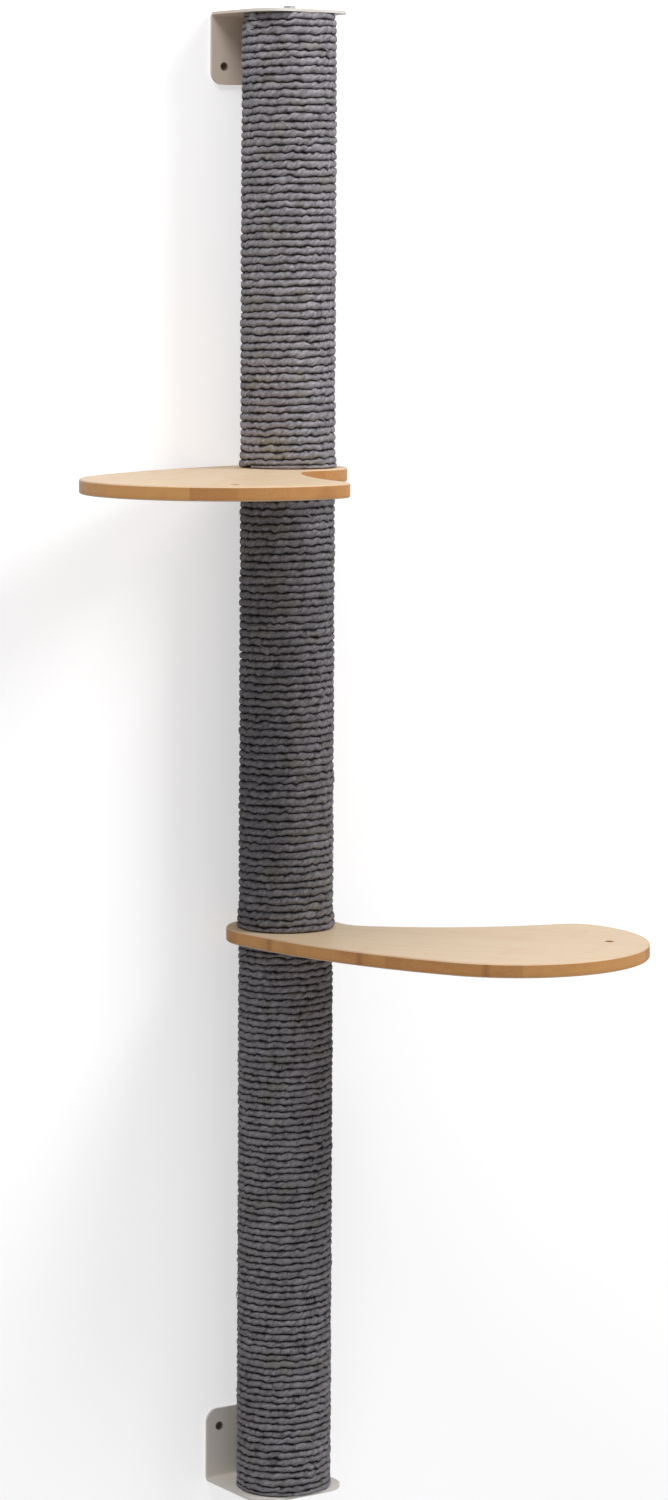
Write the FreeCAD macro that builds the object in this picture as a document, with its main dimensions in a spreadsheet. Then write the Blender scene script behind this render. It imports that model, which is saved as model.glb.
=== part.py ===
"""Wall mounted cat tree: three rope-wrapped posts clamped between two steel wall brackets, with two wooden
shelf boards clamped between the posts. Millimetres. +Z up, +X right along the wall, room towards -Y.
The origin lies on the wall, midway between the two screw holes of the bottom bracket."""

import FreeCAD, Part
import math
import os

import Sketcher

Vector = FreeCAD.Vector
Rotation = FreeCAD.Rotation

# Driving dimensions, in millimetres, degrees or counts.
SIZES = {
    # posts, from bottom to top
    "bottom_post_length": 610,
    "middle_post_length": 495,
    "top_post_length": 500,
    "tube_diameter": 89,
    "tube_wall": 6,
    # rope round the posts
    "rope_diameter": 8,
    "top_rope_pitch": 8.7,
    "middle_rope_pitch": 8.5,
    "bottom_rope_pitch": 7.7,
    "wound_turns": 5,
    "flared_turns": 3,
    "rope_flare": 2.4,
    "rope_turn_gap": 0.7,
    "rope_end_gap": 0.5,
    "glue_gap": 0.3,
    # shelf boards
    "board_thickness": 15,
    "board_to_wall": 2,
    "board_edge_chamfer": 1.2,
    "collar_margin": 13.5,
    "neck_radius": 40,
    "hollow_radius": 400,
    "hollow_centre_along": 5.5,
    "corner_radius": 45,
    "corner_past_end_centre": 41,
    "end_radius": 152,
    "end_centre_along": 262,
    "belly_radius": 650,
    "toy_hole_diameter": 10,
    "toy_hole_past_end_centre": 101,
    "toy_hole_across": 39,
    "lower_board_heading": -54.5,
    "upper_board_heading": -137.5,
    # steel wall brackets
    "bracket_steel": 3,
    "plate_setback": 8.5,
    "hole_to_plate": 57,
    "hole_to_leg_end": 20,
    "hole_to_leg_side": 16,
    "wall_hole_spacing": 88,
    "wall_hole_diameter": 8,
    "bend_radius": 3,
    "plate_corner_radius": 30,
    "leg_corner_radius": 14,
    # end plugs, threaded inserts, studs and bolts
    "plug_thickness": 18,
    "press_clearance": 0.2,
    "insert_across_flats": 12,
    "insert_length": 16,
    "thread_diameter": 8,
    "thread_clearance": 0.15,
    "thread_engagement": 13,
    "bolt_hole_clearance": 0.5,
    "bolt_head_across_flats": 13,
    "bolt_head_height": 5.3,
}

POST_DIAMETER = "(Sizes.tube_diameter + 2 * Sizes.rope_diameter)"
TUBE_BORE = "(Sizes.tube_diameter - 2 * Sizes.tube_wall)"
COLLAR_RADIUS = f"({POST_DIAMETER} / 2 + Sizes.collar_margin)"
POST_ACROSS_WALL = f"-({COLLAR_RADIUS} + Sizes.board_to_wall)"
BOLT_HOLE = "(Sizes.thread_diameter + 2 * Sizes.bolt_hole_clearance)"
CORNER_CENTRE_ALONG = "(Sizes.end_centre_along + Sizes.corner_past_end_centre)"
BRACKET_WIDTH = "(Sizes.wall_hole_spacing + 2 * Sizes.hole_to_leg_side)"
BRACKET_DEPTH = f"(-({POST_ACROSS_WALL}) + {POST_DIAMETER} / 2 - Sizes.plate_setback)"
ORIGIN_POINT = (-1, 1)
X_AXIS = -1
START, END, CENTRE = 1, 2, 3

# Heights of the stacked pieces above the lower screw holes.
BOTTOM_BASE = "-Sizes.hole_to_plate"
LOWER_BOARD_BASE = f"{BOTTOM_BASE} + Sizes.bottom_post_length"
MIDDLE_BASE = f"{LOWER_BOARD_BASE} + Sizes.board_thickness"
UPPER_BOARD_BASE = f"{MIDDLE_BASE} + Sizes.middle_post_length"
TOP_BASE = f"{UPPER_BOARD_BASE} + Sizes.board_thickness"
TOP_PLATE_BASE = f"{TOP_BASE} + Sizes.top_post_length"
TOP_SCREWS = f"{TOP_PLATE_BASE} - Sizes.hole_to_plate"

doc = FreeCAD.newDocument("WallCatTree")


def add_sizes():
    """The sheet that holds every driving dimension under its own name."""
    sheet = doc.addObject("Spreadsheet::Sheet", "Sizes")
    for row, (name, size) in enumerate(SIZES.items(), start=1):
        sheet.set(f"A{row}", name)
        sheet.set(f"B{row}", str(size))
        sheet.setAlias(f"B{row}", name)
    doc.recompute()
    return sheet


sizes = add_sizes()


def number(expression):
    """The present value of an expression of sizes."""
    return float(sizes.evalExpression(expression))


def size(name):
    """The present value of one size."""
    return number(f"Sizes.{name}")


def place(thing, height, upside_down=False, across="0", heading=None):
    """Stand a piece at a height, a distance from the wall plane and, for a board, a heading."""
    if upside_down:
        thing.Placement = FreeCAD.Placement(Vector(), Rotation(Vector(0, 1, 0), 180))
    if heading:
        thing.Placement = FreeCAD.Placement(Vector(), Rotation(Vector(0, 0, 1), 1))
        thing.setExpression("Placement.Rotation.Angle", heading)
    thing.setExpression("Placement.Base.y", across)
    thing.setExpression("Placement.Base.z", height)
    return thing


def new_body(label):
    """An empty body whose label names its piece."""
    body = doc.addObject("PartDesign::Body", label)
    body.Label = label
    return body


def new_sketch(body, name, plane_role="XY_Plane"):
    """A sketch on one of the body's own origin planes."""
    sketch = body.newObject("Sketcher::SketchObject", name)
    plane = next(f for f in body.Origin.OriginFeatures if f.Role == plane_role)
    sketch.AttachmentSupport = [(plane, "")]
    sketch.MapMode = "FlatFace"
    return sketch


def bind(sketch, kind, geometry, expression):
    """Add a constraint that takes its value from the sheet."""
    index = sketch.addConstraint(Sketcher.Constraint(kind, *geometry, number(expression)))
    name = f"bound_{index}"
    sketch.renameConstraint(index, name)
    sketch.setExpression(f"Constraints.{name}", expression)


def add_circle(sketch, diameter, across="0", along="0"):
    """A circle with a bound diameter, at the origin or at bound distances from it."""
    x, y = number(across), number(along)
    circle = Part.Circle(Vector(x, y, 0), Vector(0, 0, 1), number(diameter) / 2)
    index = sketch.addGeometry(circle)
    bind(sketch, "Diameter", (index,), diameter)
    if across == along == "0":
        sketch.addConstraint(Sketcher.Constraint("Coincident", index, CENTRE, *ORIGIN_POINT))
        return
    for kind, distance in (("DistanceX", across), ("DistanceY", along)):
        if distance == "0":
            axis = -2 if kind == "DistanceX" else X_AXIS
            sketch.addConstraint(Sketcher.Constraint("PointOnObject", index, CENTRE, axis))
        else:
            bind(sketch, kind, (*ORIGIN_POINT, index, CENTRE), distance)


def pad(body, sketch, length, symmetric=False):
    """Raise a sketch by a bound length."""
    feature = body.newObject("PartDesign::Pad", f"{body.Name}_pad")
    feature.Profile = sketch
    if symmetric:
        feature.SideType = "Symmetric"
    feature.setExpression("Length", length)
    doc.recompute()
    return feature


def cut_through(body, sketch):
    """Cut a sketch through the whole body, both ways from its plane."""
    before = body.Shape.Volume
    feature = body.newObject("PartDesign::Pocket", f"{body.Name}_cut")
    feature.Profile = sketch
    feature.Type = "ThroughAll"
    feature.SideType = "Symmetric"
    doc.recompute()
    if not body.Shape.Volume < before:
        raise ValueError(f"{feature.Name} cuts nothing")


def dress(body, kind, amount_property, amount, chosen):
    """Fillet or chamfer the edges of the body that the test picks out."""
    base = body.Tip
    names = [f"Edge{i}" for i, edge in enumerate(base.Shape.Edges, start=1) if chosen(edge)]
    if not names:
        raise ValueError(f"no edges of {body.Name} for {kind}")
    feature = body.newObject(f"PartDesign::{kind}", f"{body.Name}_{kind.lower()}")
    feature.Base = (base, names)
    feature.setExpression(amount_property, amount)
    doc.recompute()


def near(first, second):
    """Whether two lengths agree closely enough to pick an edge."""
    return abs(first - second) < 1e-4


def runs_along(edge, axis):
    """Whether an edge is a straight line along an axis, given as 'x', 'y' or 'z'."""
    if edge.Curve.TypeId != "Part::GeomLine":
        return False
    return near(abs(getattr(edge.Curve.Direction, axis)), 1)


def group(label, members):
    """Several solids that make one sub-part."""
    compound = doc.addObject("Part::Compound", label)
    compound.Label = label
    compound.Links = members
    return compound


def make_ring(label, outer, inner, length):
    """A straight tube or ring on the post axis."""
    body = new_body(label)
    sketch = new_sketch(body, f"{label}_section")
    add_circle(sketch, outer)
    add_circle(sketch, inner)
    pad(body, sketch, length)
    return body


# ---- shelf boards -------------------------------------------------------------------------------------


def meeting_point(first, first_reach, second, second_reach, side):
    """The point at two given distances from two centres, on the left (+1) or right (-1) of the line."""
    apart = second - first
    along = (first_reach**2 - second_reach**2 + apart.Length**2) / (2 * apart.Length)
    across = side * math.sqrt(first_reach**2 - along**2)
    direction = apart / apart.Length
    return first + direction * along + Vector(-direction.y, direction.x, 0) * across


def outline_centres():
    """Centres of the board's six tangent arcs, with the post axis at the origin and the board along +X."""
    collar = Vector(0, 0, 0)
    collar_radius = number(COLLAR_RADIUS)
    end = Vector(size("end_centre_along"), 0, 0)
    belly_reach = size("belly_radius") - collar_radius
    belly = meeting_point(collar, belly_reach, end, size("belly_radius") - size("end_radius"), 1)
    corner_x = number(CORNER_CENTRE_ALONG)
    corner_reach = size("end_radius") - size("corner_radius")
    corner = Vector(corner_x, math.sqrt(corner_reach**2 - (corner_x - end.x) ** 2), 0)
    hollow_x = size("hollow_centre_along")
    hollow_reach = size("hollow_radius") + size("corner_radius")
    hollow = Vector(hollow_x, corner.y + math.sqrt(hollow_reach**2 - (corner_x - hollow_x) ** 2), 0)
    neck_reach = collar_radius + size("neck_radius")
    neck = meeting_point(collar, neck_reach, hollow, size("hollow_radius") - size("neck_radius"), -1)
    return {"collar": collar, "belly": belly, "end": end, "corner": corner, "hollow": hollow, "neck": neck}


def outline_radius(name):
    """The radius of one arc of the outline."""
    return number(COLLAR_RADIUS) if name == "collar" else size(f"{name}_radius")


def touching_point(centres, first, second):
    """Where two tangent arcs of the outline meet: inside each other, or outside round the hollow side."""
    side_by_side = {first, second} in ({"corner", "hollow"}, {"neck", "collar"})
    if not side_by_side:
        first, second = sorted((first, second), key=outline_radius, reverse=True)
    towards = (centres[second] - centres[first]).normalize()
    return centres[first] + towards * outline_radius(first)


def draw_board_outline(sketch):
    """Six tangent arcs: collar, belly, round end, far corner, hollow side and neck, counterclockwise."""
    centres = outline_centres()
    names = list(centres)
    concave = {"hollow", "neck"}
    joins = [touching_point(centres, names[i - 1], name) for i, name in enumerate(names)]
    for i, name in enumerate(names):
        ends = [joins[i], joins[(i + 1) % len(names)]]
        if name in concave:
            ends.reverse()
        angles = [math.atan2(*reversed((point - centres[name])[:2])) for point in ends]
        if angles[1] < angles[0]:
            angles[1] += 2 * math.pi
        circle = Part.Circle(centres[name], Vector(0, 0, 1), outline_radius(name))
        sketch.addGeometry(Part.ArcOfCircle(circle, *angles))
    for i, name in enumerate(names):
        following = (i + 1) % len(names)
        leaving = START if name in concave else END
        entering = END if names[following] in concave else START
        sketch.addConstraint(Sketcher.Constraint("Tangent", i, leaving, following, entering))
    sketch.addConstraint(Sketcher.Constraint("Coincident", names.index("collar"), CENTRE, *ORIGIN_POINT))
    sketch.addConstraint(Sketcher.Constraint("PointOnObject", names.index("end"), CENTRE, X_AXIS))
    centres_along = {
        "end": "Sizes.end_centre_along",
        "corner": CORNER_CENTRE_ALONG,
        "hollow": "Sizes.hollow_centre_along",
    }
    for name, along in centres_along.items():
        bind(sketch, "DistanceX", (*ORIGIN_POINT, names.index(name), CENTRE), along)
    for i, name in enumerate(names):
        bind(sketch, "Radius", (i,), COLLAR_RADIUS if name == "collar" else f"Sizes.{name}_radius")


def make_board(label, heading, height):
    """A shelf board with its stud hole on the post axis and its toy hole near the far end."""
    body = new_body(label)
    sketch = new_sketch(body, f"{label}_outline")
    draw_board_outline(sketch)
    add_circle(sketch, BOLT_HOLE)
    toy_hole_along = "Sizes.end_centre_along + Sizes.toy_hole_past_end_centre"
    add_circle(sketch, "Sizes.toy_hole_diameter", toy_hole_along, "Sizes.toy_hole_across")
    pad(body, sketch, "Sizes.board_thickness")
    levels = (0, size("board_thickness"))
    hole_radii = (number(BOLT_HOLE) / 2, size("toy_hole_diameter") / 2)

    def on_rim(edge):
        at_face = any(near(edge.CenterOfMass.z, level) for level in levels)
        return at_face and not any(near(edge.Curve.Radius, radius) for radius in hole_radii)

    dress(body, "Chamfer", "Size", "Sizes.board_edge_chamfer", on_rim)
    return place(body, height, across=POST_ACROSS_WALL, heading=heading)


# ---- brackets -----------------------------------------------------------------------------------------


def draw_angle(sketch):
    """Section of the bent bracket: the leg lies on the wall, the plate reaches out below the screw holes."""
    leg_end, plate_top = size("hole_to_leg_end"), -size("hole_to_plate")
    steel, depth = size("bracket_steel"), number(BRACKET_DEPTH)
    corners = [
        Vector(0, leg_end, 0),
        Vector(-steel, leg_end, 0),
        Vector(-steel, plate_top, 0),
        Vector(-depth, plate_top, 0),
        Vector(-depth, plate_top - steel, 0),
        Vector(0, plate_top - steel, 0),
    ]
    count = len(corners)
    for i, corner in enumerate(corners):
        sketch.addGeometry(Part.LineSegment(corner, corners[(i + 1) % count]))
        flat = "Horizontal" if i % 2 == 0 else "Vertical"
        sketch.addConstraint(Sketcher.Constraint(flat, i))
    for i in range(count):
        sketch.addConstraint(Sketcher.Constraint("Coincident", i, END, (i + 1) % count, START))
    sketch.addConstraint(Sketcher.Constraint("PointOnObject", 0, START, -2))
    bind(sketch, "DistanceY", (*ORIGIN_POINT, 0, START), "Sizes.hole_to_leg_end")
    bind(sketch, "DistanceX", (1, START, 0, START), "Sizes.bracket_steel")
    bind(sketch, "DistanceY", (2, START, *ORIGIN_POINT), "Sizes.hole_to_plate")
    bind(sketch, "DistanceX", (3, START, 5, START), BRACKET_DEPTH)
    bind(sketch, "DistanceY", (4, START, 3, START), "Sizes.bracket_steel")


def make_bracket(label, height, upside_down=False):
    """An angle bent from steel strip, with a bolt hole for the post and two screw holes for the wall."""
    body = new_body(label)
    profile = new_sketch(body, f"{label}_profile", "YZ_Plane")
    draw_angle(profile)
    pad(body, profile, BRACKET_WIDTH, symmetric=True)
    steel, plate_top = size("bracket_steel"), -size("hole_to_plate")

    def at_bend(inner):
        level = plate_top if inner else plate_top - steel
        from_wall = -steel if inner else 0

        def chosen(edge):
            middle = edge.CenterOfMass
            return runs_along(edge, "x") and near(middle.y, from_wall) and near(middle.z, level)

        return chosen

    dress(body, "Fillet", "Radius", "Sizes.bend_radius", at_bend(inner=True))
    dress(body, "Fillet", "Radius", "Sizes.bend_radius + Sizes.bracket_steel", at_bend(inner=False))

    def at_plate_corner(edge):
        return runs_along(edge, "z") and near(edge.CenterOfMass.y, -number(BRACKET_DEPTH))

    def at_leg_corner(edge):
        return runs_along(edge, "y") and near(edge.CenterOfMass.z, size("hole_to_leg_end"))

    dress(body, "Fillet", "Radius", "Sizes.plate_corner_radius", at_plate_corner)
    dress(body, "Fillet", "Radius", "Sizes.leg_corner_radius", at_leg_corner)
    bolt_hole = new_sketch(body, f"{label}_bolt_hole")
    add_circle(bolt_hole, BOLT_HOLE, "0", POST_ACROSS_WALL)
    cut_through(body, bolt_hole)
    screw_holes = new_sketch(body, f"{label}_screw_holes", "XZ_Plane")
    for side in ("", "-"):
        add_circle(screw_holes, "Sizes.wall_hole_diameter", f"{side}Sizes.wall_hole_spacing / 2", "0")
    cut_through(body, screw_holes)
    return place(body, height, upside_down)


# ---- posts --------------------------------------------------------------------------------------------


def biarc(start, start_way, finish, finish_way):
    """Two tangent arcs from one point and direction to another."""
    apart = finish - start
    ways = start_way + finish_way
    spread = 2 * (1 - start_way.dot(finish_way))
    reach = math.sqrt(apart.dot(ways) ** 2 + spread * apart.dot(apart)) - apart.dot(ways)
    reach /= spread
    first_pole = start + start_way * reach
    second_pole = finish - finish_way * reach
    join = (first_pole + second_pole) * 0.5
    arcs = []
    for tail, pole, head in ((start, first_pole, join), (join, second_pole, finish)):
        half_turn = (pole - tail).getAngle(head - pole) / 2
        chord_middle = (tail + head) * 0.5
        crown = chord_middle + (pole - chord_middle) * (math.cos(half_turn) / (1 + math.cos(half_turn)))
        arcs.append(Part.Arc(tail, crown, head).toShape())
    return arcs


def winding_point(turn, pitch, flared_turn):
    """Centre of the rope after a number of turns, which spread outwards towards the flared end."""
    closeness = max(0, 1 - abs(turn - flared_turn) / size("flared_turns"))
    radius = size("tube_diameter") / 2 + size("glue_gap") + size("rope_diameter") / 2
    radius += size("rope_flare") * closeness**2
    angle = 2 * math.pi * turn
    return Vector(radius * math.sin(angle), radius * math.cos(angle), pitch * turn)


def winding_way(turn, pitch, flared_turn):
    """Direction of the rope after a number of turns."""
    step = 1e-4
    ahead = winding_point(turn + step, pitch, flared_turn)
    behind = winding_point(turn - step, pitch, flared_turn)
    return (ahead - behind).normalize()


def make_winding(label, pitch_name, flared_at_top):
    """The last turns of the rope at one end of a post, as one unbroken faceted tube."""
    pitch = size(pitch_name)
    turns = round(size("wound_turns"))
    flared_turn = turns if flared_at_top else 0
    half_depth = size("rope_diameter") / 2
    half_height = (pitch - size("rope_turn_gap")) / 2
    stops = [i / 2 for i in range(2 * turns + 1)]
    points = [winding_point(-turn, -pitch, -flared_turn) for turn in stops]
    ways = [winding_way(-turn, -pitch, -flared_turn) * -1 for turn in stops]
    tail = ways[0] * size("rope_diameter")
    lead = ways[-1] * size("rope_diameter")
    edges = [Part.makeLine(points[0] - tail, points[0])]
    for i in range(len(stops) - 1):
        edges += biarc(points[i], ways[i], points[i + 1], ways[i + 1])
    edges.append(Part.makeLine(points[-1], points[-1] + lead))
    path = Part.Wire(edges)
    outwards = Vector(points[0].x, points[0].y, 0).normalize()
    upwards = outwards.cross(ways[0])
    upwards = upwards if upwards.z > 0 else upwards * -1
    start = points[0] - tail
    rim = [
        start + outwards * half_depth,
        start + upwards * half_height,
        start - outwards * half_depth,
        start - upwards * half_height,
    ]
    shell = Part.BRepOffsetAPI.MakePipeShell(path)
    shell.add(Part.makePolygon(rim + rim[:1]))
    shell.build()
    shell.makeSolid()
    winding = doc.addObject("Part::Feature", label)
    winding.Shape = shell.shape()
    print_least_gap(label, path, pitch, half_height)
    return winding


def print_least_gap(label, path, pitch, half_height):
    """Measure on points how near the tube's turns come to each other."""
    per_turn = 36
    spots = path.discretize(Number=round(size("wound_turns")) * per_turn)
    nearest = min(
        (spots[i] - spots[j]).Length
        for i in range(len(spots))
        for j in range(i + per_turn // 2, min(len(spots), i + 3 * per_turn // 2))
    )
    print(f"{label}: least gap between turns {nearest - 2 * half_height:.2f} mm")


def make_rope_wrap(name, length, base, pitch_name, flared_at_top):
    """Rope round one post: a plain layer, and at the flared end the turns themselves."""
    label = f"{name}_rope_wrap"
    pitch = size(pitch_name)
    half_height = (pitch - size("rope_turn_gap")) / 2
    wound_height = f"(round(Sizes.wound_turns) + 1) * Sizes.{pitch_name}"
    inner = "Sizes.tube_diameter + 2 * Sizes.glue_gap"
    plain_length = f"{length} - {wound_height} - 2 * Sizes.rope_end_gap"
    layer = make_ring(f"{label}_layer", POST_DIAMETER, inner, plain_length)
    winding = make_winding(f"{label}_turns", pitch_name, flared_at_top)
    if flared_at_top:
        layer_base = f"{base} + Sizes.rope_end_gap"
        winding_base = number(f"{base} + {length} - Sizes.rope_end_gap")
        winding_base -= pitch * round(size("wound_turns")) + half_height
    else:
        layer_base = f"{base} + Sizes.rope_end_gap + {wound_height}"
        winding_base = number(f"{base} + Sizes.rope_end_gap") + half_height
    place(layer, layer_base, across=POST_ACROSS_WALL)
    winding.Placement.Base = Vector(0, number(POST_ACROSS_WALL), winding_base)
    return group(label, [layer, winding])


def add_cylinder(name, diameter, height):
    """A plain cylinder with bound sizes."""
    cylinder = doc.addObject("Part::Cylinder", name)
    cylinder.setExpression("Radius", f"{diameter} / 2")
    cylinder.setExpression("Height", height)
    return cylinder


def add_hexagon(name, across_flats, height):
    """A hexagonal prism with bound sizes."""
    prism = doc.addObject("Part::Prism", name)
    prism.Polygon = 6
    prism.setExpression("Circumradius", f"{across_flats} / 2 / cos(30 deg)")
    prism.setExpression("Height", height)
    return prism


def cut_out(name, whole, hole):
    """One solid less another."""
    cut = doc.addObject("Part::Cut", name)
    cut.Base = whole
    cut.Tool = hole
    return cut


def make_plug(name):
    """A wooden disc for a tube's end, with a hexagonal seat for the insert nut."""
    disc = add_cylinder(f"{name}_disc", f"({TUBE_BORE} - 2 * Sizes.press_clearance)", "Sizes.plug_thickness")
    across_seat = "(Sizes.insert_across_flats + 2 * Sizes.press_clearance)"
    return cut_out(name, disc, add_hexagon(f"{name}_seat", across_seat, "Sizes.plug_thickness"))


def make_insert(name):
    """A hexagonal steel insert nut."""
    nut = add_hexagon(f"{name}_nut", "Sizes.insert_across_flats", "Sizes.insert_length")
    thread = "(Sizes.thread_diameter + 2 * Sizes.thread_clearance)"
    return cut_out(name, nut, add_cylinder(f"{name}_thread", thread, "Sizes.insert_length"))


def make_post_ends(label, make_piece, base, length):
    """The same piece in each end of a post, flush with the end, as one group."""
    lower = place(make_piece(f"{label}_lower"), base, across=POST_ACROSS_WALL)
    upper = make_piece(f"{label}_upper")
    place(upper, f"{base} + {length}", upside_down=True, across=POST_ACROSS_WALL)
    return group(label, [lower, upper])


def make_post(name, base, pitch_name, flared_at_top):
    """One post: tube, rope, and in each end a wooden plug that holds an insert nut."""
    length = f"Sizes.{name}_post_length"
    tube = make_ring(f"{name}_post_tube", "Sizes.tube_diameter", TUBE_BORE, length)
    place(tube, base, across=POST_ACROSS_WALL)
    wrap = make_rope_wrap(name, length, base, pitch_name, flared_at_top)
    plugs = make_post_ends(f"{name}_post_plugs", make_plug, base, length)
    inserts = make_post_ends(f"{name}_post_inserts", make_insert, base, length)
    return [tube, wrap, plugs, inserts]


# ---- studs and bolts ----------------------------------------------------------------------------------


def make_stud(label, board_base):
    """A double-ended stud that joins two posts through a board."""
    stud = add_cylinder(label, "Sizes.thread_diameter", "Sizes.board_thickness + 2 * Sizes.thread_engagement")
    stud.Label = label
    return place(stud, f"{board_base} - Sizes.thread_engagement", across=POST_ACROSS_WALL)


def make_bolt(label, plate_face, upside_down):
    """A hexagon bolt whose head bears on a bracket's plate; its shank runs on into the insert nut."""
    bolt = doc.addObject("Part::Fuse", label)
    bolt.Label = label
    bolt.Base = add_hexagon(f"{label}_head", "Sizes.bolt_head_across_flats", "Sizes.bolt_head_height")
    shank_length = "Sizes.bolt_head_height + Sizes.bracket_steel + Sizes.thread_engagement"
    bolt.Tool = add_cylinder(f"{label}_shank", "Sizes.thread_diameter", shank_length)
    outwards = "+" if upside_down else "-"
    return place(bolt, f"{plate_face} {outwards} Sizes.bolt_head_height", upside_down, POST_ACROSS_WALL)


def make_all():
    """Every piece of the cat tree."""
    pieces = [
        make_bracket("bottom_bracket", "0"),
        make_bracket("top_bracket", TOP_SCREWS, upside_down=True),
        make_bolt("bottom_bracket_bolt", f"{BOTTOM_BASE} - Sizes.bracket_steel", upside_down=False),
        make_bolt("top_bracket_bolt", f"{TOP_PLATE_BASE} + Sizes.bracket_steel", upside_down=True),
    ]
    pieces += make_post("bottom", BOTTOM_BASE, "bottom_rope_pitch", flared_at_top=True)
    pieces += make_post("middle", MIDDLE_BASE, "middle_rope_pitch", flared_at_top=False)
    pieces += make_post("top", TOP_BASE, "top_rope_pitch", flared_at_top=False)
    boards = (("lower", LOWER_BOARD_BASE), ("upper", UPPER_BOARD_BASE))
    for name, board_base in boards:
        pieces.append(make_board(f"{name}_shelf_board", f"Sizes.{name}_board_heading", board_base))
        pieces.append(make_stud(f"{name}_shelf_stud", board_base))
    return pieces


def check_and_export(pieces):
    """Stop on any failed object, then write each piece under its own name."""
    doc.recompute()
    for thing in doc.Objects:
        if "Invalid" in thing.State or "Error" in thing.State:
            raise ValueError(f"{thing.Name} failed: {thing.State}")
    os.makedirs("parts", exist_ok=True)
    for piece in pieces:
        if piece.Shape.isNull() or not piece.Shape.isValid():
            raise ValueError(f"{piece.Label} has no valid shape")
        piece.Shape.exportStep(f"parts/{piece.Label}.step")
    print(f"{len(pieces)} pieces written")


check_and_export(make_all())
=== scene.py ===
"""The look of the wall mounted cat tree: wound ropes, bamboo boards, powder coated brackets, wall and light."""
import math

import bpy
import numpy as np
from mathutils import Euler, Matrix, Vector


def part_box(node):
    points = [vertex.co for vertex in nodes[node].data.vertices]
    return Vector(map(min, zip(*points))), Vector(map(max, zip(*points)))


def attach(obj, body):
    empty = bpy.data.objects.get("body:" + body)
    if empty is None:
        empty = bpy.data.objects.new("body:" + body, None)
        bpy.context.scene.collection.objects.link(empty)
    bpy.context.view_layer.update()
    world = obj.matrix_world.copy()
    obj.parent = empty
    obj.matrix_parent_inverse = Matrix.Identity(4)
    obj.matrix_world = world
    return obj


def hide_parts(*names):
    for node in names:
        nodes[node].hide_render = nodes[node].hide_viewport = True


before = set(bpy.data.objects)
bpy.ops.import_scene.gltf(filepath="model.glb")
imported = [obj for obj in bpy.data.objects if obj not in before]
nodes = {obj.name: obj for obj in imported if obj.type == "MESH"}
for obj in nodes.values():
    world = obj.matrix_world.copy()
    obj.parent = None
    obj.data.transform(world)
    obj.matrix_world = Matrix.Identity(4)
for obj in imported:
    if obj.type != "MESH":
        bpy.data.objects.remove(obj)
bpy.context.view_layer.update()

scene = bpy.context.scene
scene.view_settings.view_transform = "Standard"

# All lengths are in metres, in the frame of the CAD: the wall is y = 0, the room is towards -Y, +Z is up.
POST_Y = -0.068            # the post's axis
TUBE_RADIUS = 0.0446       # what the ropes are wound on


# ---------------------------------------------------------------- camera
CAMERA_PLACE = (-2.524, -3.959, 1.308)
CAMERA_HEADING = 33.6      # degrees to the right of the wall's normal
CAMERA_TILT = 2.0          # degrees down
CAMERA_ROLL = 0.26         # degrees
CAMERA_LENS = 100.8
CAMERA_SHIFT_Y = -0.2294


def make_camera():
    data = bpy.data.cameras.new("camera")
    data.sensor_width = 36.0
    data.lens = CAMERA_LENS
    data.shift_y = CAMERA_SHIFT_Y
    camera = bpy.data.objects.new("camera", data)
    scene.collection.objects.link(camera)
    turn = Euler((math.radians(90 - CAMERA_TILT), 0, math.radians(-CAMERA_HEADING)), "XYZ").to_matrix()
    roll = Euler((0, 0, math.radians(CAMERA_ROLL)), "XYZ").to_matrix()
    camera.matrix_world = (turn @ roll).to_4x4()
    camera.location = CAMERA_PLACE
    scene.camera = camera


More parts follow.
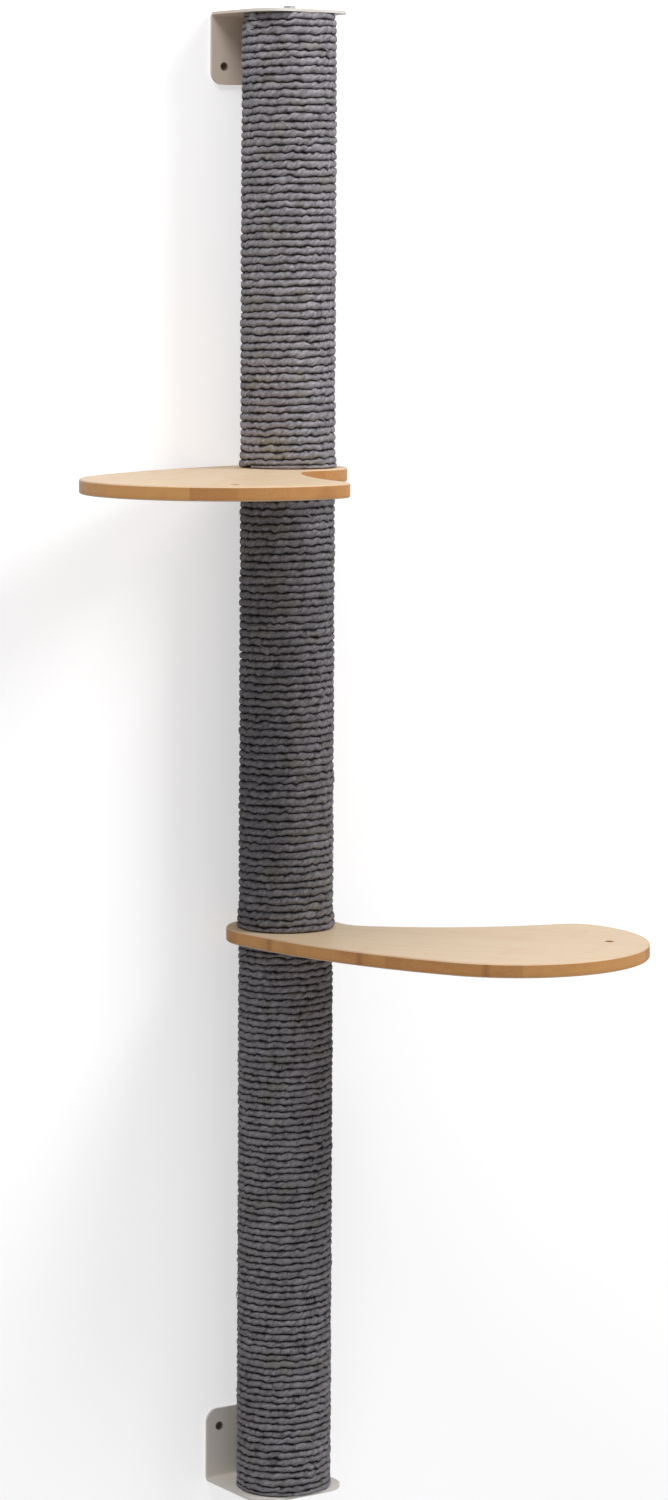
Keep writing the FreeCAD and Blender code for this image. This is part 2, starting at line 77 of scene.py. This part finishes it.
# ---------------------------------------------------------------- material helpers
class Nodes:
    """A material's node tree with short calls for what the materials below need."""

    def __init__(self, name):
        self.material = bpy.data.materials.new(name)
        self.material.use_nodes = True
        self.tree = self.material.node_tree
        self.tree.nodes.clear()

    def add(self, kind, inputs=None, **settings):
        node = self.tree.nodes.new(kind)
        for key, value in settings.items():
            setattr(node, key, value)
        for key, value in (inputs or {}).items():
            if isinstance(value, bpy.types.NodeSocket):
                self.tree.links.new(value, node.inputs[key])
            else:
                node.inputs[key].default_value = value
        return node

    def level(self, factor, low, high, to_low=0.0, to_high=1.0):
        node = self.add("ShaderNodeMapRange", {"Value": factor, "From Min": low, "From Max": high,
                                               "To Min": to_low, "To Max": to_high})
        return node.outputs["Result"]

    def maths(self, operation, a, b=0.0):
        node = self.add("ShaderNodeMath", {0: a, 1: b}, operation=operation)
        return node.outputs["Value"]

    def mix(self, factor, a, b, blend="MIX"):
        node = self.add("ShaderNodeMix", {"Factor": factor}, data_type="RGBA", blend_type=blend)
        for socket, value in ((node.inputs[6], a), (node.inputs[7], b)):
            if isinstance(value, bpy.types.NodeSocket):
                self.tree.links.new(value, socket)
            else:
                socket.default_value = (*value, 1)
        return node.outputs[2]

    def stretched(self, coordinates, scale, place=(0, 0, 0)):
        node = self.add("ShaderNodeMapping", {"Vector": coordinates, "Scale": scale, "Location": place})
        return node.outputs["Vector"]

    def noise(self, coordinates, scale, detail=4.0, roughness=0.5, distortion=0.0):
        node = self.add("ShaderNodeTexNoise", {"Vector": coordinates, "Scale": scale, "Detail": detail,
                                               "Roughness": roughness, "Distortion": distortion})
        return node.outputs["Fac"]

    def object_place(self):
        return self.add("ShaderNodeTexCoord").outputs["Object"]

    def attribute(self, name, output="Vector"):
        return self.add("ShaderNodeAttribute", attribute_name=name).outputs[output]

    def bump(self, height, strength, distance, under=None):
        node = self.add("ShaderNodeBump", {"Height": height, "Strength": strength, "Distance": distance})
        if under is not None:
            self.tree.links.new(under, node.inputs["Normal"])
        return node.outputs["Normal"]

    def finish(self, colour, roughness, normal=None, **uniform):
        shader = self.add("ShaderNodeBsdfPrincipled", {"Base Color": colour, "Roughness": roughness})
        if normal is not None:
            self.tree.links.new(normal, shader.inputs["Normal"])
        for key, value in uniform.items():
            shader.inputs[key.replace("_", " ")].default_value = value
        output = self.add("ShaderNodeOutputMaterial", {"Surface": shader.outputs["BSDF"]})
        output.target = "ALL"
        return self.material


# ---------------------------------------------------------------- materials
def rope_material(name, shade):
    """Soft twisted rope: streaks that run along the yarns, pale flecks, faint tinted patches, and painted shade, near
    black, in the gaps between turns, on the side against the post and in the strands' valleys.
    """
    # shade is painted light: it scales the colour into a lighter or darker copy for each rope
    base = tuple(shade * c for c in (0.215, 0.200, 0.222))
    light = tuple(shade * c for c in (0.365, 0.345, 0.375))
    n = Nodes(name)
    along = n.attribute("rope_place")
    groove = n.attribute("rope_painted_shade", "Fac")
    where = n.object_place()
    streaks = n.noise(n.stretched(along, (130, 430, 430)), 1.0, 3.0, 0.6)
    fibres = n.noise(n.stretched(along, (330, 1300, 1300)), 1.0, 2.0, 0.6)
    blots = n.noise(n.stretched(where, (1, 1, 0.8)), 130.0, 2.0, 0.55)
    patches = n.noise(n.stretched(where, (1, 1, 1.6)), 26.0, 2.0, 0.5)
    tints = n.noise(n.stretched(where, (1, 1, 1.5), (3, 1, 2)), 34.0, 1.0, 0.4)
    grey = n.mix(n.level(streaks, 0.34, 0.66), tuple(0.72 * c for c in base), light)
    grey = n.mix(n.level(fibres, 0.56, 0.66, 0.0, 0.70), grey, tuple(min(1, 1.6 * c) for c in light))
    grey = n.mix(n.level(fibres, 0.43, 0.33, 0.0, 0.70), grey, tuple(0.35 * c for c in base))
    grey = n.mix(n.level(patches, 0.35, 0.65, 0.0, 0.3), grey, tuple(0.6 * c for c in base))
    grey = n.mix(n.level(tints, 0.56, 0.70, 0.0, 0.35), grey, (base[0] * 1.05, base[1] * 1.1, base[2] * 0.70))
    uneven = n.maths("ADD", n.maths("MULTIPLY", n.maths("SUBTRACT", blots, 0.5), 2.0),
                     n.maths("MULTIPLY", n.maths("SUBTRACT", streaks, 0.5), 0.6))
    # painted shade: the rope goes near black in the gaps between turns, on its side against the post and in the
    # strands' valleys, broken up by noise
    painted_shade_mask = n.maths("ADD", groove, uneven)
    grey = n.mix(n.level(painted_shade_mask, 0.32, 1.0, 0.0, 0.95), grey, (0.010, 0.009, 0.011))
    height = n.maths("ADD", n.maths("MULTIPLY", streaks, 0.6), n.maths("MULTIPLY", fibres, 0.4))
    return n.finish(grey, 0.96, n.bump(height, 0.7, 0.0014), Specular_IOR_Level=0.2,
                    Sheen_Weight=0.08, Sheen_Roughness=0.5)


HOLE_X = 0.044                 # the brackets' screw holes, left and right of the post
HOLE_LEVELS = (0.0, 1.521)
HOLE_RADIUS = 0.0044           # of the painted shade round the screw holes, and of the holes drilled in the wall


def powder_coat_material(name, painted_warm_shade):
    """White powder coat with fine orange peel, painted warm shade towards the wall, and painted shade in a dark ring
    round each screw hole.
    """
    n = Nodes(name)
    where = n.object_place()
    peel = n.noise(where, 900.0, 2.0, 0.5)
    drift = n.noise(where, 9.0, 3.0, 0.5)
    colour = n.mix(drift, (0.90, 0.865, 0.815), (0.84, 0.795, 0.735))
    place = n.add("ShaderNodeSeparateXYZ", {"Vector": where}).outputs
    # painted warm shade: the coat turns beige towards the wall, most of all on the top bracket's wall leg
    colour = n.mix(n.level(place["Y"], -0.085, -0.03, 0.0, painted_warm_shade), colour, (0.82, 0.67, 0.54))
    # painted shade: a dark brown ring just round each screw hole, which makes the holes look wider and darker
    beside = n.maths("SUBTRACT", n.maths("ABSOLUTE", place["X"]), HOLE_X)
    above = n.maths("MINIMUM", *(n.maths("ABSOLUTE", n.maths("SUBTRACT", place["Z"], z)) for z in HOLE_LEVELS))
    away = n.maths("SQRT", n.maths("ADD", n.maths("MULTIPLY", beside, beside), n.maths("MULTIPLY", above, above)))
    colour = n.mix(n.level(away, HOLE_RADIUS + 0.0009, HOLE_RADIUS, 0.0, 0.85), colour, (0.11, 0.08, 0.052))
    rough = n.level(peel, 0.3, 0.7, 0.38, 0.5)
    return n.finish(colour, rough, n.bump(peel, 0.12, 0.0006))


def zinc_material():
    """Zinc plated steel: fine brushed streaks and a faint mottling."""
    n = Nodes("zinc_plate")
    where = n.object_place()
    mottle = n.noise(where, 160.0, 3.0, 0.6)
    lines = n.noise(n.stretched(where, (1, 1, 14)), 400.0, 2.0, 0.5)
    colour = n.mix(mottle, (0.60, 0.61, 0.62), (0.74, 0.75, 0.76))
    rough = n.level(lines, 0.3, 0.7, 0.25, 0.42)
    return n.finish(colour, rough, n.bump(lines, 0.1, 0.0003), Metallic=1.0)


def cardboard_material():
    """Wound cardboard: brown paper with short fibres and darker blotches."""
    n = Nodes("wound_cardboard")
    where = n.object_place()
    fibres = n.noise(n.stretched(where, (1, 1, 6)), 260.0, 4.0, 0.65)
    blotches = n.noise(where, 24.0, 3.0, 0.5)
    colour = n.mix(fibres, (0.40, 0.28, 0.17), (0.58, 0.44, 0.30))
    colour = n.mix(n.level(blotches, 0.4, 0.7, 0.0, 0.5), colour, (0.36, 0.26, 0.16))
    return n.finish(colour, 0.9, n.bump(fibres, 0.3, 0.0006))


def plywood_material():
    """Plywood plugs: stacked plies across the height."""
    n = Nodes("plug_plywood")
    where = n.object_place()
    plies = n.add("ShaderNodeTexWave", {"Vector": where, "Scale": 60.0, "Distortion": 0.6,
                                        "Detail": 2.0, "Detail Scale": 1.5},
                  wave_type="BANDS", bands_direction="Z").outputs["Fac"]
    grain = n.noise(n.stretched(where, (14, 1, 1)), 60.0, 4.0, 0.6)
    colour = n.mix(plies, (0.62, 0.43, 0.25), (0.78, 0.62, 0.42))
    colour = n.mix(n.maths("MULTIPLY", grain, 0.5), colour, (0.50, 0.34, 0.19))
    return n.finish(colour, 0.75, n.bump(grain, 0.2, 0.0005))


BAMBOO_LIGHT = (0.87, 0.67, 0.46)
BAMBOO_DARK = (0.79, 0.56, 0.345)
BAMBOO_EDGE = (0.80, 0.40, 0.132)
BAMBOO_EDGE_DARK = (0.53, 0.215, 0.064)
LAMELLA = 0.048              # width of a glued strip
LAMELLA_START = -0.187       # a joint between strips, measured across the board
LAMELLA_TONES = (0.65, 0.30, 0.22, 0.12, 0.80, 0.58, 0.48, 0.45)     # 0 light, 1 dark
GROWTH_SPACING = 0.27        # between the growth marks along one strip
LOWER_HEADING, UPPER_HEADING = -54.5, -137.5     # where the boards point at rest, degrees from +X


def bamboo_material(name, heading, height):
    """Laminated bamboo in a board's own axes: glued strips along the board, bamboo nodes and fine fibres."""
    n = Nodes(name)
    turned = n.add("ShaderNodeMapping", {"Vector": n.object_place(), "Location": (0, -POST_Y, -height)})
    own = n.add("ShaderNodeMapping", {"Vector": turned.outputs["Vector"],
                                      "Rotation": (0, 0, -math.radians(heading))}).outputs["Vector"]
    parts = n.add("ShaderNodeSeparateXYZ", {"Vector": own})
    x, y, z = (parts.outputs[axis] for axis in "XYZ")
    across = n.maths("DIVIDE", n.maths("SUBTRACT", y, LAMELLA_START), LAMELLA)
    tones = n.add("ShaderNodeValToRGB", {"Fac": n.maths("DIVIDE", across, len(LAMELLA_TONES))})
    tones.color_ramp.interpolation = "CONSTANT"
    stops = tones.color_ramp.elements
    while len(stops) < len(LAMELLA_TONES):
        stops.new(1.0)
    for k, tone in enumerate(LAMELLA_TONES):
        stops[k].position = k / len(LAMELLA_TONES)
        stops[k].color = (tone, tone, tone, 1)
    tone = tones.outputs["Color"]
    strip = n.maths("FLOOR", across)
    row = n.add("ShaderNodeTexWhiteNoise", {"W": strip}, noise_dimensions="1D").outputs["Value"]
    slide = n.maths("ADD", x, n.maths("MULTIPLY", row, 0.9))
    fibres = n.noise(n.stretched(own, (22, 700, 700)), 1.0, 4.0, 0.6)
    wide = n.noise(n.stretched(own, (6, 60, 60)), 1.0, 3.0, 0.5)
    clouds = n.noise(n.stretched(own, (9, 26, 26), (4, 1, 0)), 1.0, 2.0, 0.5)
    colour = n.mix(n.level(tone, 0.0, 1.0, 0.0, 0.30), BAMBOO_LIGHT, BAMBOO_DARK)
    colour = n.mix(n.level(fibres, 0.35, 0.75, 0.0, 0.24), colour, (0.56, 0.35, 0.17))
    colour = n.mix(n.level(wide, 0.4, 0.7, 0.0, 0.30), colour, (0.90, 0.74, 0.54))
    colour = n.mix(n.level(clouds, 0.5, 0.7, 0.0, 0.25), colour, (0.80, 0.52, 0.33))
    seam = n.maths("ABSOLUTE", n.maths("SUBTRACT", n.maths("FRACT", across), 0.5))
    colour = n.mix(n.level(seam, 0.492, 0.5, 0.0, 0.30), colour, (0.46, 0.26, 0.11))
    growth = n.maths("ABSOLUTE", n.maths("SUBTRACT", n.maths("FRACT", n.maths("DIVIDE", slide, GROWTH_SPACING)), 0.5))
    growth = n.maths("ADD", growth, n.maths("MULTIPLY", n.maths("SUBTRACT", wide, 0.5), 0.010))
    mark = n.level(growth, 0.478, 0.500)
    faint = n.level(growth, 0.462, 0.500)
    colour = n.mix(n.maths("MULTIPLY", faint, 0.10), colour, (0.56, 0.30, 0.16))
    upright = n.add("ShaderNodeSeparateXYZ", {"Vector": n.add("ShaderNodeNewGeometry").outputs["Normal"]})
    side = n.level(n.maths("ABSOLUTE", upright.outputs["Z"]), 0.8, 0.35)
    edge = n.mix(tone, BAMBOO_EDGE, BAMBOO_EDGE_DARK)
    edge = n.mix(n.level(fibres, 0.35, 0.7, 0.0, 0.35), edge, (0.84, 0.50, 0.21))
    edge = n.mix(n.level(clouds, 0.48, 0.66, 0.0, 0.40), edge, (0.40, 0.14, 0.045))
    edge = n.mix(n.level(z, 0.005, 0.0, 0.0, 0.30), edge, (0.36, 0.13, 0.04))
    edge = n.mix(n.maths("MULTIPLY", mark, 0.45), edge, (0.24, 0.09, 0.03))
    colour = n.mix(side, colour, edge)
    rough = n.level(fibres, 0.3, 0.7, 0.34, 0.48)
    return n.finish(colour, rough, n.bump(fibres, 0.15, 0.0004), Specular_IOR_Level=0.4)


# ---------------------------------------------------------------- room
def see_through_from_behind(n, front):
    """Shows a backdrop's front only, so that the object can be seen from behind and from below."""
    back = n.add("ShaderNodeNewGeometry").outputs["Backfacing"]
    clear = n.add("ShaderNodeBsdfTransparent")
    both = n.add("ShaderNodeMixShader", {0: back, 1: front, 2: clear.outputs["BSDF"]})
    n.add("ShaderNodeOutputMaterial", {"Surface": both.outputs["Shader"]})
    return n.material


def backdrop_material(name, diffuse, glow):
    n = Nodes(name)
    paint = n.add("ShaderNodeBsdfDiffuse", {"Color": (*diffuse, 1)})
    shine = n.add("ShaderNodeEmission", {"Color": (1, 0.995, 1, 1), "Strength": glow})
    seen = n.add("ShaderNodeAddShader", {0: paint.outputs["BSDF"], 1: shine.outputs["Emission"]})
    light_path = n.add("ShaderNodeLightPath")
    front = n.add("ShaderNodeMixShader", {0: light_path.outputs["Is Camera Ray"],
                                          1: paint.outputs["BSDF"], 2: seen.outputs["Shader"]})
    return see_through_from_behind(n, front.outputs["Shader"])


def make_panel(name, corners, material):
    mesh = bpy.data.meshes.new(name)
    mesh.from_pydata(corners, [], [(0, 1, 2, 3)])
    mesh.materials.append(material)
    panel = bpy.data.objects.new(name, mesh)
    scene.collection.objects.link(panel)
    return panel


def drilled_hole_material():
    """The inside of a hole drilled in the wall, on a flat disc: dusty brown, darkened with painted shade of the
    hole's depth.
    """
    n = Nodes("drilled_hole")
    dust = n.noise(n.object_place(), 700.0, 3.0, 0.6)
    inside = n.add("ShaderNodeBsdfDiffuse", {"Color": n.mix(dust, (0.10, 0.072, 0.045), (0.24, 0.18, 0.115))})
    return see_through_from_behind(n, inside.outputs["BSDF"])


def make_drilled_hole(x, z, y, material):
    """A round mouth, slightly ragged, on the wall behind a bracket's screw hole."""
    corners = 28
    around = [2 * math.pi * k / corners for k in range(corners)]
    reach = [HOLE_RADIUS + 0.0002 * math.sin(5 * a) for a in around]
    rim = [(x + r * math.cos(a), y, z + r * math.sin(a)) for r, a in zip(reach, around)]
    mesh = bpy.data.meshes.new("drilled_hole")
    mesh.from_pydata(rim, [], [list(range(corners))])
    mesh.materials.append(material)
    mouth = bpy.data.objects.new("drilled_hole", mesh)
    scene.collection.objects.link(mouth)


def make_room():
    wall = backdrop_material("wall_paint", (0.80, 0.80, 0.81), 0.49)
    floor = backdrop_material("floor_paint", (0.60, 0.60, 0.60), 0.68)
    floor_z, wide, tall, deep = -0.36, 2.4, 3.2, 3.2
    wall_y = 0.0006          # just behind the brackets' backs
    panel = make_panel("wall", [(-wide, wall_y, floor_z), (wide, wall_y, floor_z), (wide, wall_y, tall),
                                (-wide, wall_y, tall)], wall)
    panel.visible_diffuse = panel.visible_shadow = False     # lets light reach the object's back
    hole = drilled_hole_material()
    for level in HOLE_LEVELS:
        for side in (-HOLE_X, HOLE_X):
            make_drilled_hole(side, level, wall_y - 0.0003, hole)
    make_panel("floor", [(-wide, -deep, floor_z), (wide, -deep, floor_z), (wide, wall_y, floor_z),
                         (-wide, wall_y, floor_z)], floor)


def make_light(name, place, target, size, power):
    data = bpy.data.lights.new(name, "AREA")
    data.size = size
    data.energy = power
    light = bpy.data.objects.new(name, data)
    light.location = place
    light.rotation_euler = (Vector(target) - Vector(place)).to_track_quat("-Z", "Y").to_euler()
    scene.collection.objects.link(light)


def make_lights():
    world = bpy.data.worlds.new("studio")
    scene.world = world
    world.use_nodes = True
    tree = world.node_tree
    tree.nodes.clear()
    output = tree.nodes.new("ShaderNodeOutputWorld")
    mix = tree.nodes.new("ShaderNodeMixShader")
    lamp = tree.nodes.new("ShaderNodeBackground")
    sky = tree.nodes.new("ShaderNodeBackground")
    path = tree.nodes.new("ShaderNodeLightPath")
    lamp.inputs["Color"].default_value = (1, 1, 1, 1)
    lamp.inputs["Strength"].default_value = 0.34
    sky.inputs["Color"].default_value = (1, 1, 1, 1)
    sky.inputs["Strength"].default_value = 1.0
    tree.links.new(path.outputs["Is Camera Ray"], mix.inputs[0])
    tree.links.new(lamp.outputs[0], mix.inputs[1])
    tree.links.new(sky.outputs[0], mix.inputs[2])
    tree.links.new(mix.outputs[0], output.inputs["Surface"])
    middle = (0, -0.05, 0.8)
    make_light("right", (1.8, -1.9, 3.1), middle, size=1.4, power=60)
    make_light("left", (-1.4, -1.1, 3.7), middle, size=1.4, power=48)


# ---------------------------------------------------------------- ropes
ROPE_SIDES = 12                     # points round the rope
HALF_ROPE = 0.0040                  # half its thickness
STRAND_LAY = 0.029                  # rope in which its strands go round once
ROPE_RUN = 2 * math.pi * 0.0486     # rope in one turn round the post
WRAP_RADIUS = 0.0522                # a yarn's ends lie here, on the turns
YARN_RADIUS = 0.0528                # and its middle about here
TURNS = {"top": 59, "middle": 60, "bottom": 80}
# painted light: one rope colour made lighter for the top rope and darker for the middle one, standing in for how
# unevenly the three are lit
ROPE_PAINTED_LIGHT = {"top": 1.32, "middle": 0.92, "bottom": 1.10}
YARN_PALER = 1.6


def smooth_random(random, length, spacing):
    """Random values that change smoothly along a length, as a function of the place."""
    knots = random.standard_normal(int(length / spacing) + 6)

    def value(place):
        t = np.clip(np.asarray(place, float) / spacing + 2, 1, len(knots) - 3)
        i = np.floor(t).astype(int)
        f = t - i
        a, b, c, d = knots[i - 1], knots[i], knots[i + 1], knots[i + 2]
        return 0.5 * (2 * b + (c - a) * f + (2 * a - 5 * b + 4 * c - d) * f ** 2 + (3 * b - a - 3 * c + d) * f ** 3)
    return value


def make_rope_piece(name, points, faces, spots, depth, material):
    """A smooth mesh with the two attributes that the rope's material reads."""
    mesh = bpy.data.meshes.new(name)
    mesh.from_pydata(points, [], faces)
    mesh.polygons.foreach_set("use_smooth", [True] * len(mesh.polygons))
    place = mesh.attributes.new("rope_place", "FLOAT_VECTOR", "POINT")
    place.data.foreach_set("vector", np.asarray(spots, np.float32).ravel())
    groove = mesh.attributes.new("rope_painted_shade", "FLOAT", "POINT")
    groove.data.foreach_set("value", np.asarray(depth, np.float32).ravel())
    mesh.materials.append(material)
    mesh.update()
    piece = bpy.data.objects.new(name, mesh)
    scene.collection.objects.link(piece)
    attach(piece, "post")
    return piece


def wind_rope(name, node, turns, start_angle, seed, steps, step_out, material):
    """One unbroken soft rope wound round a post, tucked in at both ends.

    The line between one turn and the next wavers, so the turns lie unevenly but never cross. step_out gives how far
    out a turn lies, counted from the lowest one; where it is below zero, the rope is pressed flatter instead."""
    random = np.random.default_rng(seed)
    low, high = (corner.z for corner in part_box(node))
    pitch = (high - low) / (turns - 1)
    length = ROPE_RUN * turns
    quick, middling, slow = (smooth_random(random, length, reach) for reach in (0.0044, 0.015, 0.070))
    opening, bulge, swell = (smooth_random(random, length, reach) for reach in (0.007, 0.010, 0.050))

    def line(v):
        """Height of the line between turn v and the one above it."""
        place = v * ROPE_RUN
        wave = 0.00066 * quick(place) + 0.00028 * middling(place) + 0.00026 * slow(place)
        fade = np.clip(v / 0.3, 0, 1) * np.clip((turns - 1 - v) / 0.3, 0, 1)
        crowd = 0.4 * pitch * (np.exp(-v / 0.5) - np.exp(-(turns - 1 - v) / 0.5))
        z = low + pitch * v + crowd + wave * fade
        ease_in = np.clip((v + 0.08) / 0.08, 0, 1)
        ease_out = np.clip((turns - 1 + 0.08 - v) / 0.08, 0, 1)
        z = np.where(v < 0, low + 0.4 * pitch * ease_in ** 2, z)
        return np.where(v > turns - 1, high - 0.4 * pitch * ease_out ** 2, z)

    rings = int(turns * steps) + 1
    u = np.linspace(0, turns, rings)
    s = u * ROPE_RUN
    gap = 0.00005 + 0.00025 * np.clip(opening(s), 0, 2.5)
    bottom, top = line(u - 1) + gap, line(u) - gap
    half_height = (top - bottom) / 2
    mid_z = (top + bottom) / 2
    step = step_out((mid_z - low) / pitch)
    half_depth = HALF_ROPE + 0.00012 * bulge(s) + 0.00010 * swell(s) + 0.5 * np.minimum(step, 0)
    end = np.minimum(u, turns - u)
    taper = np.clip(end / 0.010, 0, 1) ** 0.5
    centre_r = TUBE_RADIUS + half_depth + np.maximum(step, 0)
    angle = start_angle + 2 * math.pi * u
    around = 2 * math.pi * np.arange(ROPE_SIDES) / ROPE_SIDES

    a = around[None, :] + (2 * math.pi * s / STRAND_LAY)[:, None]
    c, d = np.cos(a), np.sin(a)
    power = 3.0
    reach = (np.abs(c) ** power + np.abs(d) ** power) ** (-1 / power)
    crest = np.abs(np.cos(1.5 * around))[None, :]
    strands = 1 + 0.13 * (crest - 0.8)
    jitter = 1 + 0.020 * random.standard_normal((rings, ROPE_SIDES))
    size = reach * strands * jitter * taper[:, None]
    radius = centre_r[:, None] + half_depth[:, None] * size * c
    z = mid_z[:, None] + half_height[:, None] * np.clip(size * d, -1.02, 1.02)
    z = np.clip(z, low + 0.0001, high - 0.0001)
    theta = angle[:, None] + np.zeros_like(a)
    points = np.stack([radius * np.cos(theta), POST_Y + radius * np.sin(theta), z], -1).reshape(-1, 3)

    ring = np.arange(rings - 1)[:, None] * ROPE_SIDES
    side = np.arange(ROPE_SIDES)[None, :]
    after = (side + 1) % ROPE_SIDES
    faces = np.stack([ring + side, ring + after, ring + ROPE_SIDES + after, ring + ROPE_SIDES + side], -1)
    caps = [list(range(ROPE_SIDES))[::-1], [(rings - 1) * ROPE_SIDES + k for k in range(ROPE_SIDES)]]

    yarn = np.stack([0.004 * np.cos(around) + 0.05 * seed, 0.004 * np.sin(around)])[:, None, :] + 0 * a
    spots = np.stack([s[:, None] + 0 * a, *yarn], -1).reshape(-1, 3)
    # where the painted shade goes: the gaps between turns, the side facing the post, and the strands' valleys
    depth = np.maximum(np.clip((np.abs(size * d) - 0.60) / 0.40, 0, 1), np.clip(-c * 2, 0, 1))
    depth = depth + 0.22 * (1 - crest) ** 2
    rope = make_rope_piece(name, points.tolist(), faces.reshape(-1, 4).tolist() + caps, spots, depth, material)
    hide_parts(node)


def make_yarns(name, node, turns, step_out, ends, strays, seed, material):
    """Loose yarns on a wound rope: frayed where its ends are tucked in, and a few stray ones across the turns.

    An end is its angle, its height and the way it points; a stray is its angle and height. Each yarn is a slim
    tube, closed at both ends, that lifts off the turns in its middle."""
    random = np.random.default_rng(seed)
    low, high = (corner.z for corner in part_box(node))
    uniform = random.uniform
    yarns = [(angle + way * uniform(-0.05, 0.05), z + uniform(-0.003, 0.003), way * uniform(0.006, 0.015),
              uniform(-0.0045, 0.0045), uniform(0.0004, 0.0014), uniform(0.0004, 0.0008))
             for angle, z, way in ends for _ in range(16)]
    strays = [*strays, *((uniform(0, 2 * math.pi), uniform(low + 0.03, high - 0.03)) for _ in range(14))]
    yarns += [(angle, z, uniform(0.007, 0.013), uniform(-0.009, -0.004), uniform(0.0004, 0.0009),
               uniform(0.0004, 0.0006)) for angle, z in strays]
    sides, steps = 5, 9
    t = np.linspace(0, 1, steps)
    around = 2 * math.pi * np.arange(sides) / sides
    points, faces, spots = [], [], []
    for angle, z, run, rise, lift, thick in yarns:
        slim = thick * np.sin(math.pi * (0.06 + 0.90 * t)) ** 0.6
        theta = angle + run * t / YARN_RADIUS
        height = np.clip(z + rise * t ** 1.4 + 0.0004 * np.sin(7 * t + z * 900), low + 0.001, high - 0.001)
        radius = WRAP_RADIUS + lift * np.sin(math.pi * t) + step_out((height - low) / (high - low) * (turns - 1))
        r = radius[:, None] + slim[:, None] * np.cos(around)
        h = height[:, None] + slim[:, None] * np.sin(around)
        first = len(points)
        points += np.stack([r * np.cos(theta)[:, None], POST_Y + r * np.sin(theta)[:, None], h],
                           -1).reshape(-1, 3).tolist()
        spots += np.stack([(theta * 0.05)[:, None] + 0 * r, 0.002 * np.cos(around) + z + 0 * r,
                           0.002 * np.sin(around) + 0 * r], -1).reshape(-1, 3).tolist()
        faces += [(first + sides * i + k, first + sides * i + (k + 1) % sides,
                   first + sides * (i + 1) + (k + 1) % sides, first + sides * (i + 1) + k)
                  for i in range(steps - 1) for k in range(sides)]
        faces += [tuple(range(first + sides - 1, first - 1, -1)),
                  tuple(range(first + sides * (steps - 1), first + sides * steps))]
    make_rope_piece(name, points, faces, spots, [0.0] * len(points), material)


def top_step(turn):
    """The top rope spreads over the board, and is drawn in under the top plate."""
    return 0.0022 * np.clip(1 - turn / 2.6, 0, 1) ** 1.5 - 0.0020 * np.clip((turn - 56.2) / 1.6, 0, 1) ** 1.5


def middle_step(turn):
    """The middle rope spreads over the board."""
    return 0.0026 * np.clip(1 - turn / 3.4, 0, 1) ** 1.5


def bottom_step(turn):
    """The bottom rope is straight."""
    return 0.0 * turn


def make_ropes():
    top, middle, bottom = (rope_material("rope_" + name, shade) for name, shade in ROPE_PAINTED_LIGHT.items())
    wind_rope("top_rope", "top_rope_wrap", TURNS["top"], -3.05, 11, 128, top_step, top)
    wind_rope("middle_rope", "middle_rope_wrap", TURNS["middle"], -0.4, 12, 128, middle_step, middle)
    wind_rope("bottom_rope", "bottom_rope_wrap", TURNS["bottom"], 0.9, 13, 100, bottom_step, bottom)

    # the yarns take their rope's painted light too, made YARN_PALER times paler
    top, middle, bottom = (rope_material("yarns_" + name, YARN_PALER * shade) for name, shade in ROPE_PAINTED_LIGHT.items())
    make_yarns("top_rope_yarns", "top_rope_wrap", TURNS["top"], top_step,
               [(-3.20, 1.5735, 1), (-3.05, 1.5675, 1), (-3.25, 1.5600, 1)], [(-2.16, 1.529)], 21, top)
    make_yarns("middle_rope_yarns", "middle_rope_wrap", TURNS["middle"], middle_step,
               [(-0.4, 1.0585, 1)], [], 22, middle)
    make_yarns("bottom_rope_yarns", "bottom_rope_wrap", TURNS["bottom"], bottom_step,
               [(0.9, 0.5485, 1), (0.9, -0.0525, -1)], [], 23, bottom)


# ---------------------------------------------------------------- the CAD's own pieces
def dress(names, material):
    for name in names:
        piece = nodes[name]
        piece.data.materials.clear()
        piece.data.materials.append(material)


def dress_all():
    # the second number is painted warm shade: much more on the top bracket than on the bottom one
    dress(("bottom_bracket",), powder_coat_material("powder_coat_bottom", 0.1))
    dress(("top_bracket",), powder_coat_material("powder_coat_top", 0.75))
    dress(("bottom_bracket_bolt", "top_bracket_bolt", "bottom_post_inserts", "middle_post_inserts",
           "top_post_inserts", "lower_shelf_stud", "upper_shelf_stud"), zinc_material())
    dress(("bottom_post_tube", "middle_post_tube", "top_post_tube"), cardboard_material())
    dress(("bottom_post_plugs", "middle_post_plugs", "top_post_plugs"), plywood_material())
    dress(("lower_shelf_board",), bamboo_material("bamboo_lower", LOWER_HEADING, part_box("lower_shelf_board")[0].z))
    dress(("upper_shelf_board",), bamboo_material("bamboo_upper", UPPER_HEADING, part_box("upper_shelf_board")[0].z))


make_camera()
make_room()
make_lights()
dress_all()
make_ropes()
